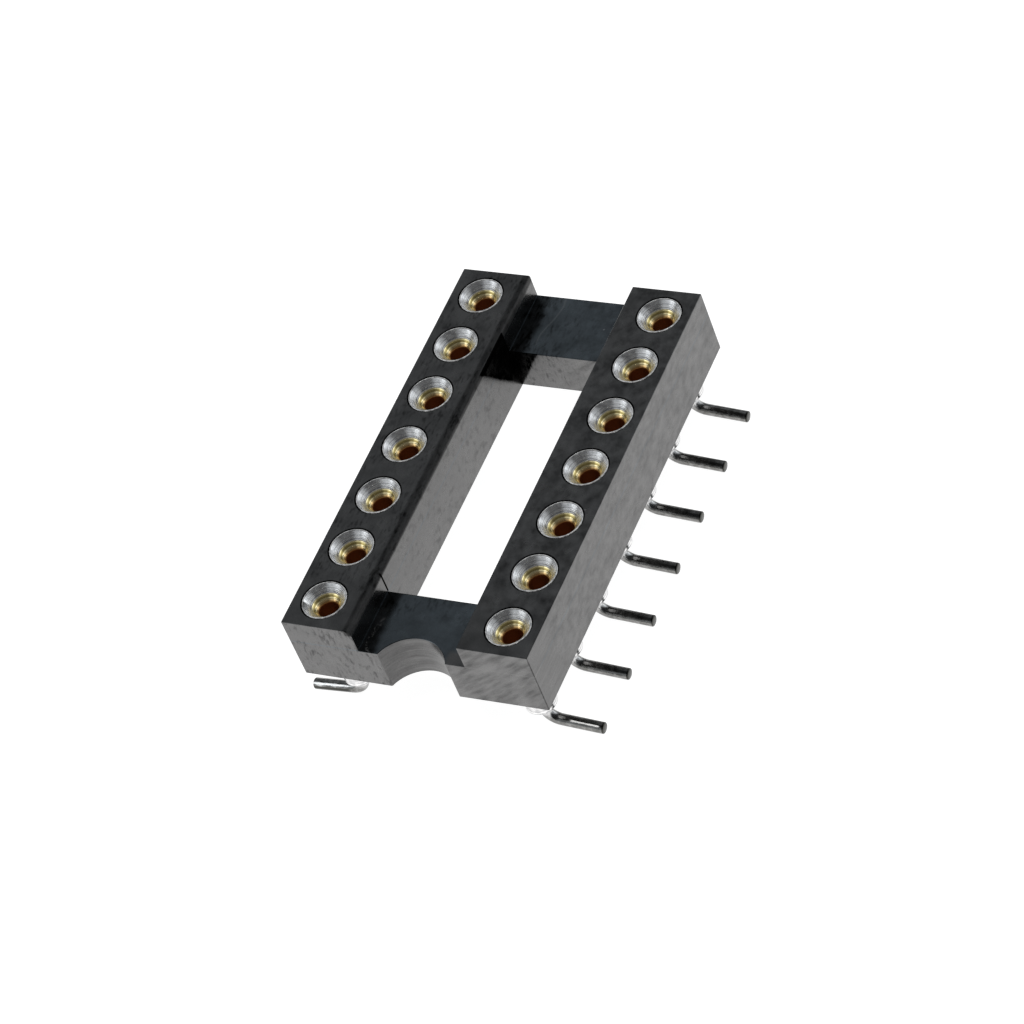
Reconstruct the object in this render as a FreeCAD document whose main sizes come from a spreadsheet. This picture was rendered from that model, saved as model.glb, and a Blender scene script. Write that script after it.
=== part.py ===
import FreeCAD, Part

import math
import os

import Sketcher

# Dual-in-line socket with turned contacts and bent surface-mount feet.
# Lengths are in millimetres and angles in degrees. The rows of contacts run along Y, the feet point
# out along X, and the board lies at Z = 0. The origin is on the board, in the middle of the outline.
# The end with the half-round notch faces -Y, and contact 1 is on its right, at +X.

# Driving dimensions: name and value.
DIMENSIONS = [
    # layout of the contacts
    ("contacts_per_row", 7),
    ("pitch", 2.54),
    ("row_spacing", 7.62),
    # insulator
    ("end_margin", 1.27),
    ("side_margin", 1.27),
    ("body_height", 3.0),
    ("rail_width", 2.88),
    ("front_bar_depth", 2.86),
    ("back_bar_depth", 2.96),
    ("bar_drop", 1.1),
    ("notch_radius", 1.5),
    ("notch_offset", 0.55),
    ("edge_break", 0.05),
    ("left_rail_round", 0.3),
    # sleeve: a turned head, barrel and shoulder with a funnel mouth and a stepped bore
    ("head_radius", 0.87),
    ("head_depth", 0.75),
    ("head_gap", 0.06),
    ("barrel_radius", 0.62),
    ("barrel_below", 1.4),
    ("shoulder_height", 0.15),
    ("rim_width", 0.05),
    ("funnel_depth", 0.3),
    ("seat_radius", 0.58),
    ("seat_depth", 0.25),
    ("bore_radius", 0.47),
    ("bore_depth", 3.1),
    ("drill_point_angle", 118),
    # tail of the sleeve, bent out into a foot
    ("wire_radius", 0.225),
    ("tail_straight", 0.12),
    ("bend_radius", 0.65),
    ("foot_reach", 2.29),
    ("foot_angle", 5),
    ("tip_chamfer", 0.05),
    # clip: a lip with a ledge inside it, a neck and an even number of fingers
    ("clip_recess", 0.01),
    ("lip_width", 0.04),
    ("lip_depth", 0.12),
    ("lip_slope", 0.045),
    ("ledge_width", 0.04),
    ("throat_slope_depth", 0.15),
    ("clip_wall", 0.08),
    ("neck_length", 0.52),
    ("finger_length", 1.2),
    ("grip_radius", 0.19),
    ("slot_width", 0.12),
    ("fingers", 4),
]

doc = FreeCAD.newDocument("ic_socket")
sizes = doc.addObject("Spreadsheet::Sheet", "Sizes")
for row, (name, value) in enumerate(DIMENSIONS, start=1):
    sizes.set(f"A{row}", str(value))
    sizes.setAlias(f"A{row}", name)
doc.recompute()

# Sizes that follow from the driving ones, as expressions on the sheet.
BODY_WIDTH = "(Sizes.row_spacing + 2 * Sizes.side_margin)"
BODY_LENGTH = "((Sizes.contacts_per_row - 1) * Sizes.pitch + 2 * Sizes.end_margin)"
WINDOW_WIDTH = f"({BODY_WIDTH} - 2 * Sizes.rail_width)"

# Depths on a sleeve and its clip are counted down from the top face of the insulator.
BARREL_END = "(Sizes.body_height + Sizes.barrel_below)"
SHOULDER_END = f"({BARREL_END} + Sizes.shoulder_height)"
SEAT_END = "(Sizes.funnel_depth + Sizes.seat_depth)"
DRILL_POINT = "(Sizes.bore_depth + Sizes.bore_radius / tan(Sizes.drill_point_angle / 2))"
THROAT_RADIUS = "(Sizes.bore_radius - Sizes.clip_wall)"
LIP_TOP = "(Sizes.funnel_depth + Sizes.clip_recess)"
LIP_RADIUS = "(Sizes.seat_radius - Sizes.lip_width)"
LIP_END = f"({LIP_TOP} + Sizes.lip_depth)"
LEDGE_RADIUS = f"({LIP_RADIUS} - Sizes.lip_slope)"
THROAT_TOP = f"({LIP_END} + Sizes.throat_slope_depth)"
NECK_END = f"({THROAT_TOP} + Sizes.neck_length)"
FINGER_END = f"({NECK_END} + Sizes.finger_length)"

# Height of the start of the bend above the board: the foot slopes down to a tip that touches the board.
TIP_HEIGHT = "(Sizes.wire_radius * cos(Sizes.foot_angle) - Sizes.tip_chamfer * sin(Sizes.foot_angle))"
FOOT_RUN = "(Sizes.foot_reach - Sizes.bend_radius * (1 - sin(Sizes.foot_angle)))"
FOOT_DROP = f"({FOOT_RUN} * tan(Sizes.foot_angle))"
BEND_HEIGHT = f"({TIP_HEIGHT} + {FOOT_DROP} + Sizes.bend_radius * cos(Sizes.foot_angle))"
BEND_DEPTH = f"({SHOULDER_END} + Sizes.tail_straight)"
TOP_HEIGHT = f"({BEND_HEIGHT} + {BEND_DEPTH})"
UNDERSIDE_HEIGHT = f"({TOP_HEIGHT} - Sizes.body_height)"


def value_of(expression):
    """The number that an expression on the sheet has now."""
    return float(sizes.evalExpression(expression))


def new_body(label):
    """An empty sub-part, whose label names its file."""
    body = doc.addObject("PartDesign::Body", label)
    body.Label = label
    return body


def new_sketch(body, name, role, offset=None):
    """A sketch on one of the body's own origin planes, lifted along the plane's normal by offset."""
    sketch = body.newObject("Sketcher::SketchObject", name)
    plane = next(item for item in body.Origin.OriginFeatures if item.Role == role)
    sketch.AttachmentSupport = (plane, [""])
    sketch.MapMode = "FlatFace"
    if offset:
        sketch.setExpression("AttachmentOffset.Base.z", offset)
    return sketch


def constrain(sketch, expression, kind, *where):
    """A dimension of a sketch that follows an expression on the sheet."""
    index = sketch.addConstraint(Sketcher.Constraint(kind, *where, value_of(expression)))
    sketch.setExpression(f"Constraints[{index}]", expression)


def draw_section(sketch, corners):
    """A closed outline from (radius, depth) corners, each an expression or 0, for turning about Z."""
    points = []
    for radius, depth in corners:
        across = value_of(radius) if radius else 0
        down = value_of(depth) if depth else 0
        points.append(FreeCAD.Vector(across, -down, 0))
    count = len(points)
    for index, point in enumerate(points):
        sketch.addGeometry(Part.LineSegment(point, points[(index + 1) % count]))
    for index, (radius, depth) in enumerate(corners):
        sketch.addConstraint(Sketcher.Constraint("Coincident", (index - 1) % count, 2, index, 1))
        if radius:
            constrain(sketch, radius, "DistanceX", -1, 1, index, 1)
        else:
            sketch.addConstraint(Sketcher.Constraint("PointOnObject", index, 1, -2))
        if depth:
            constrain(sketch, depth, "DistanceY", index, 1, -1, 1)
        else:
            sketch.addConstraint(Sketcher.Constraint("PointOnObject", index, 1, -1))


def draw_rectangle(sketch, left, right, front, back):
    """A rectangle round the origin, from the distances of its four sides."""
    x0, x1 = -value_of(left), value_of(right)
    y0, y1 = -value_of(front), value_of(back)
    corners = [FreeCAD.Vector(*xy, 0) for xy in ((x0, y0), (x1, y0), (x1, y1), (x0, y1))]
    for index in range(4):
        sketch.addGeometry(Part.LineSegment(corners[index], corners[(index + 1) % 4]))
        sketch.addConstraint(Sketcher.Constraint("Vertical" if index % 2 else "Horizontal", index))
    for index in range(4):
        sketch.addConstraint(Sketcher.Constraint("Coincident", index, 2, (index + 1) % 4, 1))
    constrain(sketch, left, "DistanceX", 0, 1, -1, 1)
    constrain(sketch, front, "DistanceY", 0, 1, -1, 1)
    constrain(sketch, right, "DistanceX", -1, 1, 2, 1)
    constrain(sketch, back, "DistanceY", -1, 1, 2, 1)


def draw_circle(sketch, radius, left=None, front=None):
    """A circle whose centre lies the given distances to the left and to the front of the origin."""
    aside = value_of(left) if left else 0
    ahead = value_of(front) if front else 0
    centre = FreeCAD.Vector(-aside, -ahead, 0)
    index = sketch.addGeometry(Part.Circle(centre, FreeCAD.Vector(0, 0, 1), value_of(radius)))
    constrain(sketch, radius, "Radius", index)
    if left:
        constrain(sketch, left, "DistanceX", index, 3, -1, 1)
    else:
        sketch.addConstraint(Sketcher.Constraint("PointOnObject", index, 3, -2))
    if front:
        constrain(sketch, front, "DistanceY", index, 3, -1, 1)
    else:
        sketch.addConstraint(Sketcher.Constraint("PointOnObject", index, 3, -1))


def turn(body, name, sketch):
    """A section turned right round the vertical axis."""
    turned = body.newObject("PartDesign::Revolution", name)
    turned.Profile = sketch
    turned.ReferenceAxis = (sketch, ["V_Axis"])
    turned.Angle = 360
    return turned


def cut_through(body, name, sketch, length=None):
    """A pocket below a sketch, right through or as deep as length says."""
    pocket = body.newObject("PartDesign::Pocket", name)
    pocket.Profile = sketch
    if length:
        pocket.Type = "Length"
        pocket.setExpression("Length", length)
    else:
        pocket.Type = "ThroughAll"
    return pocket


def left_rail_rim(shape):
    """The name of the left rail's long top edge beside the window."""
    top, middle = shape.BoundBox.ZMax, shape.BoundBox.Center.x
    rims = []
    for number, edge in enumerate(shape.Edges, start=1):
        box = edge.BoundBox
        is_long = box.YLength > shape.BoundBox.YLength / 2
        if is_long and math.isclose(box.ZMin, top) and box.Center.x < middle:
            rims.append((middle - box.Center.x, f"Edge{number}"))
    return min(rims)[1]


def make_insulator():
    """One moulding: two rails joined by two low end bars, with a notch and stepped holes."""
    body = new_body("insulator")
    half_width = f"{BODY_WIDTH} / 2"
    half_length = f"{BODY_LENGTH} / 2"
    half_window = f"{WINDOW_WIDTH} / 2"

    outline = new_sketch(body, "block_outline", "XY_Plane")
    draw_rectangle(outline, half_width, half_width, half_length, half_length)
    block = body.newObject("PartDesign::Pad", "block")
    block.Profile = outline
    block.setExpression("Length", "Sizes.body_height")

    opening = new_sketch(body, "window_outline", "XY_Plane", "Sizes.body_height")
    front = f"{half_length} - Sizes.front_bar_depth"
    back = f"{half_length} - Sizes.back_bar_depth"
    draw_rectangle(opening, half_window, half_window, front, back)
    cut_through(body, "window", opening)

    recess = new_sketch(body, "bar_recess_outline", "XY_Plane", "Sizes.body_height")
    past_end = f"{half_length} + Sizes.end_margin"
    draw_rectangle(recess, half_window, half_window, past_end, past_end)
    cut_through(body, "bar_recess", recess, "Sizes.bar_drop")

    bite = new_sketch(body, "notch_outline", "XY_Plane", "Sizes.body_height")
    draw_circle(bite, "Sizes.notch_radius", front=f"{half_length} + Sizes.notch_offset")
    notch = cut_through(body, "notch", bite)

    doc.recompute()
    rounded = body.newObject("PartDesign::Fillet", "rounded_left_rail")
    rounded.Base = (notch, [left_rail_rim(notch.Shape)])
    rounded.setExpression("Radius", "Sizes.left_rail_round")

    broken = body.newObject("PartDesign::Chamfer", "broken_edges")
    broken.Base = (rounded, [])
    broken.UseAllEdges = True
    broken.setExpression("Size", "Sizes.edge_break")

    centres = new_sketch(body, "first_hole_centres", "XY_Plane", "Sizes.body_height")
    first = "(Sizes.contacts_per_row - 1) / 2 * Sizes.pitch"
    for across in ("Sizes.row_spacing / 2", "-Sizes.row_spacing / 2"):
        draw_circle(centres, "Sizes.barrel_radius", left=across, front=first)
    doc.recompute()
    hole = body.newObject("PartDesign::Hole", "first_holes")
    hole.Profile = centres
    hole.Threaded = False
    hole.DepthType = "ThroughAll"
    hole.HoleCutType = "Counterbore"
    hole.HoleCutCustomValues = True
    hole.setExpression("Diameter", "2 * Sizes.barrel_radius")
    hole.setExpression("HoleCutDiameter", "2 * (Sizes.head_radius + Sizes.head_gap)")
    hole.setExpression("HoleCutDepth", "Sizes.head_depth")

    holes = body.newObject("PartDesign::LinearPattern", "holes")
    holes.Originals = [hole]
    holes.Direction = (centres, ["V_Axis"])
    holes.Mode = "Spacing"
    holes.setExpression("Offset", "Sizes.pitch")
    holes.setExpression("Occurrences", "Sizes.contacts_per_row")
    body.Tip = holes

    body.setExpression("Placement.Base.z", UNDERSIDE_HEIGHT)
    return body


def draw_tail_path(sketch):
    """The tail's centre line: straight down, round the bend, and out along the sloping foot."""
    start, bend = value_of(BARREL_END), value_of(BEND_DEPTH)
    radius, slope = value_of("Sizes.bend_radius"), math.radians(value_of("Sizes.foot_angle"))
    centre = FreeCAD.Vector(radius, -bend, 0)
    arc_end = centre + radius * FreeCAD.Vector(-math.sin(slope), -math.cos(slope), 0)
    reach, drop = value_of("Sizes.foot_reach"), value_of(FOOT_DROP)
    circle = Part.Circle(centre, FreeCAD.Vector(0, 0, 1), radius)
    sketch.addGeometry(Part.LineSegment(FreeCAD.Vector(0, -start, 0), FreeCAD.Vector(0, -bend, 0)))
    sketch.addGeometry(Part.ArcOfCircle(circle, math.pi, 1.5 * math.pi - slope))
    sketch.addGeometry(Part.LineSegment(arc_end, FreeCAD.Vector(reach, arc_end.y - drop, 0)))
    sketch.addConstraint(Sketcher.Constraint("PointOnObject", 0, 1, -2))
    sketch.addConstraint(Sketcher.Constraint("Vertical", 0))
    sketch.addConstraint(Sketcher.Constraint("Tangent", 0, 2, 1, 1))
    sketch.addConstraint(Sketcher.Constraint("Tangent", 1, 2, 2, 1))
    constrain(sketch, BARREL_END, "DistanceY", 0, 1, -1, 1)
    constrain(sketch, BEND_DEPTH, "DistanceY", 0, 2, -1, 1)
    constrain(sketch, "Sizes.bend_radius", "Radius", 1)
    constrain(sketch, "Sizes.foot_reach", "DistanceX", -1, 1, 2, 2)
    constrain(sketch, FOOT_DROP, "DistanceY", 2, 2, 2, 1)


def make_sleeve(label):
    """A turned sleeve with a funnel mouth and a stepped bore, and its tail bent out into a foot."""
    body = new_body(label)
    section = new_sketch(body, f"{label}_section", "XZ_Plane")
    draw_section(
        section,
        [
            ("Sizes.head_radius", 0),
            ("Sizes.head_radius", "Sizes.head_depth"),
            ("Sizes.barrel_radius", "Sizes.head_depth"),
            ("Sizes.barrel_radius", BARREL_END),
            ("Sizes.wire_radius", SHOULDER_END),
            (0, SHOULDER_END),
            (0, DRILL_POINT),
            ("Sizes.bore_radius", "Sizes.bore_depth"),
            ("Sizes.bore_radius", SEAT_END),
            ("Sizes.seat_radius", SEAT_END),
            ("Sizes.seat_radius", "Sizes.funnel_depth"),
            ("(Sizes.head_radius - Sizes.rim_width)", 0),
        ],
    )
    turn(body, f"{label}_turned", section)

    path = new_sketch(body, f"{label}_tail_path", "XZ_Plane")
    draw_tail_path(path)
    wire = new_sketch(body, f"{label}_tail_wire", "XY_Plane", f"-{BARREL_END}")
    draw_circle(wire, "Sizes.wire_radius")
    tail = body.newObject("PartDesign::AdditivePipe", f"{label}_tail")
    tail.Profile = wire
    tail.Spine = (path, [])
    return body


def chamfer_tip(body):
    """A small chamfer round the cut end of the tail, which is the round edge that reaches out furthest."""
    tail = body.Tip
    rims = [edge for edge in tail.Shape.Edges if isinstance(edge.Curve, Part.Circle)]
    tip = max(rims, key=lambda edge: edge.BoundBox.XMax)
    number = next(i for i, edge in enumerate(tail.Shape.Edges, start=1) if edge.isSame(tip))
    chamfer = body.newObject("PartDesign::Chamfer", f"{body.Label}_tip")
    chamfer.Base = (tail, [f"Edge{number}"])
    chamfer.setExpression("Size", "Sizes.tip_chamfer")


def make_clip(label):
    """A spring clip: a lip with a ledge inside it, a round neck and fingers that lean inwards."""
    body = new_body(label)
    section = new_sketch(body, f"{label}_section", "XZ_Plane")
    draw_section(
        section,
        [
            ("Sizes.seat_radius", LIP_TOP),
            ("Sizes.seat_radius", SEAT_END),
            ("Sizes.bore_radius", SEAT_END),
            ("Sizes.bore_radius", NECK_END),
            ("(Sizes.grip_radius + Sizes.clip_wall)", FINGER_END),
            ("Sizes.grip_radius", FINGER_END),
            (THROAT_RADIUS, NECK_END),
            (THROAT_RADIUS, THROAT_TOP),
            (f"({LEDGE_RADIUS} - Sizes.ledge_width)", LIP_END),
            (LEDGE_RADIUS, LIP_END),
            (LIP_RADIUS, LIP_TOP),
        ],
    )
    turn(body, f"{label}_formed", section)

    outline = new_sketch(body, f"{label}_slot_outline", "XY_Plane", f"-{NECK_END}")
    half_slot = "Sizes.slot_width / 2"
    draw_rectangle(outline, half_slot, half_slot, "Sizes.seat_radius", "Sizes.seat_radius")
    slot = cut_through(body, f"{label}_slot", outline)
    slots = body.newObject("PartDesign::PolarPattern", f"{label}_slots")
    slots.Originals = [slot]
    slots.Axis = (outline, ["N_Axis"])
    slots.Mode = "Spacing"
    slots.setExpression("Offset", "360 / Sizes.fingers")
    slots.setExpression("Occurrences", "Sizes.fingers / 2")
    body.Tip = slots
    return body


def place(body, number):
    """Stands a sleeve or clip at its numbered place. The left row is turned half round."""
    per_row = int(value_of("Sizes.contacts_per_row"))
    row, step = divmod(number - 1, per_row)
    side = "-" if row else ""
    half_turn = FreeCAD.Rotation(FreeCAD.Vector(0, 0, 1), 180 * row)
    body.Placement = FreeCAD.Placement(FreeCAD.Vector(), half_turn)
    body.setExpression("Placement.Base.x", f"{side}Sizes.row_spacing / 2")
    along = f"({step} - (Sizes.contacts_per_row - 1) / 2) * Sizes.pitch"
    body.setExpression("Placement.Base.y", f"{side}{along}")
    body.setExpression("Placement.Base.z", TOP_HEIGHT)


def check_document():
    """Stops if any object of the document failed."""
    for item in doc.Objects:
        if "Invalid" in item.State or "Error" in item.State:
            raise RuntimeError(f"{item.Name} failed: {item.State}")


def write_parts(bodies):
    """Writes each sub-part to its own file, once every one of them is sound."""
    for body in bodies:
        if body.Shape.isNull() or not body.Shape.isValid():
            raise RuntimeError(f"{body.Label} has no valid shape")
        if len(body.Shape.Solids) != 1:
            raise RuntimeError(f"{body.Label} has {len(body.Shape.Solids)} solids")
    os.makedirs("parts", exist_ok=True)
    for body in bodies:
        body.Shape.exportStep(f"parts/{body.Label}.step")


contact_numbers = range(1, 2 * int(value_of("Sizes.contacts_per_row")) + 1)
insulator = make_insulator()
sleeves = [make_sleeve(f"contact_{number:02d}") for number in contact_numbers]
clips = [make_clip(f"clip_{number:02d}") for number in contact_numbers]
for number, sleeve, clip in zip(contact_numbers, sleeves, clips):
    place(sleeve, number)
    place(clip, number)
doc.recompute()
for sleeve in sleeves:
    chamfer_tip(sleeve)
doc.recompute()
check_document()
write_parts([insulator] + sleeves + clips)
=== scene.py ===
import math
import random

import bmesh
import bpy
from mathutils import Matrix, Quaternion, Vector


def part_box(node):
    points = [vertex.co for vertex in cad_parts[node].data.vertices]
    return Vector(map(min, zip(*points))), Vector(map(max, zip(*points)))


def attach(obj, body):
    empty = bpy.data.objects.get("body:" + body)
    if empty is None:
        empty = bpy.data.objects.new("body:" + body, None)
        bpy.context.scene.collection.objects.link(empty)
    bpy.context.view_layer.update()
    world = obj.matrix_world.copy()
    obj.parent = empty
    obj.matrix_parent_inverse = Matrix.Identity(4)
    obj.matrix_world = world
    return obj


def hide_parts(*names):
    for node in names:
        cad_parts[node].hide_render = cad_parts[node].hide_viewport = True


# Dual-in-line socket: a black moulded frame, turned sleeves with bent feet, and gold clips in their mouths.
# Sizes are in millimetres. Pieces are modelled in millimetres, and brought to the frame's metres at the end.
# The notch faces -Y, the rows run along Y, and the feet stand on the floor at Z = 0.

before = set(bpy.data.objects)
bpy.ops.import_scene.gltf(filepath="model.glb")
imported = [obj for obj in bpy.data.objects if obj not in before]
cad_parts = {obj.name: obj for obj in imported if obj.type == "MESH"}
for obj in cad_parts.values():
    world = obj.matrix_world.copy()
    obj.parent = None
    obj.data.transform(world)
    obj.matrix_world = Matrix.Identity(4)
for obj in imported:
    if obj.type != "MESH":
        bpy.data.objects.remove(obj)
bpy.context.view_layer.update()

MM = 0.001
ALMOST = 1e-4
CONTACTS = [node[-2:] for node in sorted(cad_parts) if node.startswith("contact_")]


def box_in_mm(node):
    """The lowest and highest corner of a part of the frame, in millimetres."""
    low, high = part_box(node)
    return low / MM, high / MM


# Moulded frame
FRAME_LOW, FRAME_HIGH = box_in_mm("insulator")
TOP, UNDERSIDE = FRAME_HIGH.z, FRAME_LOW.z
RAIL_WIDTH, FRONT_BAR_DEPTH, BACK_BAR_DEPTH, BAR_DROP = 2.88, 2.86, 2.96, 1.1
HALF_WINDOW = FRAME_HIGH.x - RAIL_WIDTH
WINDOW_FRONT, WINDOW_BACK = FRAME_LOW.y + FRONT_BAR_DEPTH, FRAME_HIGH.y - BACK_BAR_DEPTH
BAR_TOP = TOP - BAR_DROP
NOTCH_RADIUS, NOTCH_OFFSET, NOTCH_CUTS = 1.5, 0.55, 39
NOTCH_CENTRE = FRAME_LOW.y - NOTCH_OFFSET
EDGE_ROUNDING = 0.035
# The left rail's rounding beside the window, and the share of it that is left at the back end
LEFT_RAIL_ROUNDING, ROUNDING_LEFT_AT_BACK = 0.3, 0.25
SHARP = math.radians(30)

# Sleeve: radii, and depths below the top face
HEAD_RADIUS, HEAD_DEPTH, HEAD_GAP, RIM_WIDTH = 0.87, 0.75, 0.06, 0.05
BARREL_RADIUS, BARREL_END, SHOULDER_END = 0.62, 4.4, 4.55
FUNNEL_DEPTH, SEAT_RADIUS, SEAT_END = 0.3, 0.58, 0.55
BORE_RADIUS, BORE_END, DRILL_POINT = 0.47, 3.1, 3.382
WIRE_RADIUS, TAIL_STRAIGHT, TIP_ROUNDING = 0.225, 0.12, 0.05
BEND_RADIUS, FOOT_ANGLE = 0.65, math.radians(5)
TURN_STEPS, BEND_STEPS = 96, 12

# Clip: radii, and depths below the top face
CLIP_GAP = 0.004
LIP_TOP, LIP_RADIUS, LIP_END = 0.31, 0.54, 0.43
LEDGE_OUTER, LEDGE_INNER = 0.495, 0.455
THROAT_RADIUS, THROAT_TOP, NECK_END = 0.39, 0.58, 1.1
GRIP_RADIUS, CLIP_WALL, FINGER_END = 0.19, 0.08, 2.3
FINGERS, SLOT_WIDTH = 4, 0.12

# Marks: how the slanting edge of the nook's painted shade runs across, along and up, where the pale line and
# the row of specks lie across the bars and how far they drift, and where the streaks on the front feet lie
NOOK_SLANT = (0.448, 0.536, 0.715)
LINE_ACROSS, LINE_SLANT, SPECKS_ACROSS, DRIFT = 0.45, 0.13, 1.35, 0.9
STREAK_ALONG, STREAK_WIDTH = -7.735, 0.035

# Chance: the seed for how far each sleeve's own marks are turned
TURN_SEED = 14

# How far the gold's rolled rims lean towards the middle, and how unevenly
RIM_LEAN, RIM_UNEVENNESS = 0.87, 1.6

# The gold's tones from the throat out to the rim: radius, colour, and how metallic it looks
GOLD_BANDS = [
    (0.39, (0.45, 0.22, 0.07), 0.9),
    (0.42, (0.8, 0.55, 0.25), 0.9),
    (0.447, (1.0, 0.84, 0.47), 0.9),
    (0.488, (1.0, 0.86, 0.5), 0.9),
    # a narrow dark band of painted shade in the gap between the two rims
    (0.498, (0.36, 0.26, 0.08), 0.88),
    (0.528, (0.6, 0.5, 0.2), 0.85),
    (0.541, (1.0, 0.86, 0.5), 0.82),
    (0.575, (1.0, 0.88, 0.56), 0.82),
]

# Camera: aimed at a point on the plane of the top faces, and turned about its own line of sight
CAMERA_AIM = Vector((1.805, -2.496, TOP))
CAMERA_DISTANCE = 163.788
CAMERA_AZIMUTH, CAMERA_ELEVATION = math.radians(39.931), math.radians(45.678)
CAMERA_ROLL = math.radians(-23.305)
CAMERA_LENS, CAMERA_SENSOR = 156.907, 36.0

# Stage
FLOOR_RADIUS, FLOOR_DROP = 3000.0, 0.01
SOFTBOX_PLACE, SOFTBOX_SIZE, SOFTBOX_POWER = (70, -60, 400), 200, 1.5
# Soft glows of the studio: direction, cosine at the edge, cosine where it is full, and strength
SKY_GLOWS = [
    ((-0.448, 0.536, 0.715), 0.72, 0.97, 0.25),
    ((-0.5, -0.82, 0.3), 0.8, 0.92, 0.45),
    ((0.85, 0.5, 0.2), 0.78, 0.93, 0.42),
    ((-0.8, -0.39, 0.46), 0.93, 0.985, 1.0),
    ((0.478, 0.78, 0.405), 0.9, 0.96, 0.75),
]


# Mesh helpers


def same(first, second):
    """Whether two sizes are equal, apart from rounding."""
    return abs(first - second) < ALMOST


def lies_level(edge, height):
    """Whether both ends of an edge lie at a height."""
    return all(same(vert.co.z, height) for vert in edge.verts)


def new_piece(name, bm, material=None):
    """An object from a mesh that is modelled in millimetres, brought to metres."""
    bmesh.ops.scale(bm, vec=(MM, MM, MM), verts=bm.verts)
    mesh = bpy.data.meshes.new(name)
    bm.to_mesh(mesh)
    bm.free()
    piece = bpy.data.objects.new(name, mesh)
    bpy.context.scene.collection.objects.link(piece)
    if material:
        mesh.materials.append(material)
    return piece


def cut_across(bm, point, normal):
    """New edges where a plane crosses the mesh."""
    everything = bm.verts[:] + bm.edges[:] + bm.faces[:]
    bmesh.ops.bisect_plane(bm, geom=everything, plane_co=point, plane_no=normal)


def raise_faces(bm, faces, height, keep_below):
    """Faces drawn upwards into walls. The faces left behind are kept as an underside or deleted."""
    drawn = bmesh.ops.extrude_face_region(bm, geom=faces, use_keep_orig=True)["geom"]
    moved = [item for item in drawn if isinstance(item, bmesh.types.BMVert)]
    bmesh.ops.translate(bm, vec=(0, 0, height), verts=moved)
    if not keep_below:
        bmesh.ops.delete(bm, geom=faces, context="FACES")


def soften(bm, edges, offset, segments):
    """Edges rounded off."""
    bmesh.ops.bevel(
        bm, geom=edges, offset=offset, offset_type="OFFSET", segments=segments,
        profile=0.5, affect="EDGES", clamp_overlap=True, material=-1,
    )


def draw_line(bm, corners, closed=False):
    """A line of edges in the plane Y = 0, through corners given by radius, depth and rounding."""
    verts = [bm.verts.new((radius, 0, -depth)) for radius, depth, _ in corners]
    ends = verts[1:] + verts[:1] if closed else verts[1:]
    for start, end in zip(verts, ends):
        bm.edges.new((start, end))
    for vert, (_, _, rounding) in zip(verts, corners):
        if rounding:
            bmesh.ops.bevel(
                bm, geom=[vert], offset=rounding, offset_type="OFFSET", segments=4,
                profile=0.5, affect="VERTICES", clamp_overlap=True, material=-1,
            )


def spin_round(bm):
    """The line in a mesh, turned into a skin all the way round the vertical axis."""
    line = bm.verts[:] + bm.edges[:]
    bmesh.ops.spin(
        bm, geom=line, cent=(0, 0, 0), axis=(0, 0, 1), dvec=(0, 0, 0),
        angle=2 * math.pi, steps=TURN_STEPS, use_merge=True,
    )
    bmesh.ops.remove_doubles(bm, verts=bm.verts, dist=ALMOST)


def push_ring(bm, ring, step):
    """A ring of edges drawn along a step into a tube, and the ring at its end."""
    drawn = bmesh.ops.extrude_edge_only(bm, edges=ring)["geom"]
    moved = [item for item in drawn if isinstance(item, bmesh.types.BMVert)]
    bmesh.ops.translate(bm, vec=step, verts=moved)
    edges = [item for item in drawn if isinstance(item, bmesh.types.BMEdge)]
    return [edge for edge in edges if all(vert in moved for vert in edge.verts)]


def bend_ring(bm, ring, centre, angle):
    """A ring of edges swept round a bend in the XZ plane, and the ring at its end."""
    verts = list({vert for edge in ring for vert in edge.verts})
    swept = bmesh.ops.spin(
        bm, geom=verts + ring, cent=centre, axis=(0, -1, 0), dvec=(0, 0, 0),
        angle=angle, steps=BEND_STEPS, use_merge=False,
    )
    return [item for item in swept["geom_last"] if isinstance(item, bmesh.types.BMEdge)]


def stand_on_axis(bm, number):
    """Moves a contact's piece to its place in the rows. The row at -X is turned half round."""
    low, high = box_in_mm(f"clip_{number}")
    place = (low + high) / 2
    half_turn = math.pi if place.x < 0 else 0
    bmesh.ops.rotate(bm, cent=(0, 0, 0), matrix=Matrix.Rotation(half_turn, 3, "Z"), verts=bm.verts)
    bmesh.ops.translate(bm, vec=(place.x, place.y, TOP), verts=bm.verts)
    return place


def smooth_shade(piece):
    """Smooth shading that stays flat on large faces and stops at sharp edges."""
    piece.data.shade_smooth()
    piece.data.set_sharp_from_angle(angle=SHARP)
    even = piece.modifiers.new("even_shading", "WEIGHTED_NORMAL")
    even.keep_sharp = True


def remember_place(piece, place, turn):
    """Stores where each point lies from the mouth's centre, turned by an angle of the piece's own."""
    centre = Vector((place.x, place.y, TOP)) * MM
    spin = Matrix.Rotation(turn, 3, "Z")
    spots = piece.data.attributes.new("from_mouth", "FLOAT_VECTOR", "POINT")
    for vert, spot in zip(piece.data.vertices, spots.data):
        spot.vector = spin @ (vert.co - centre)


# Moulded frame


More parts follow.
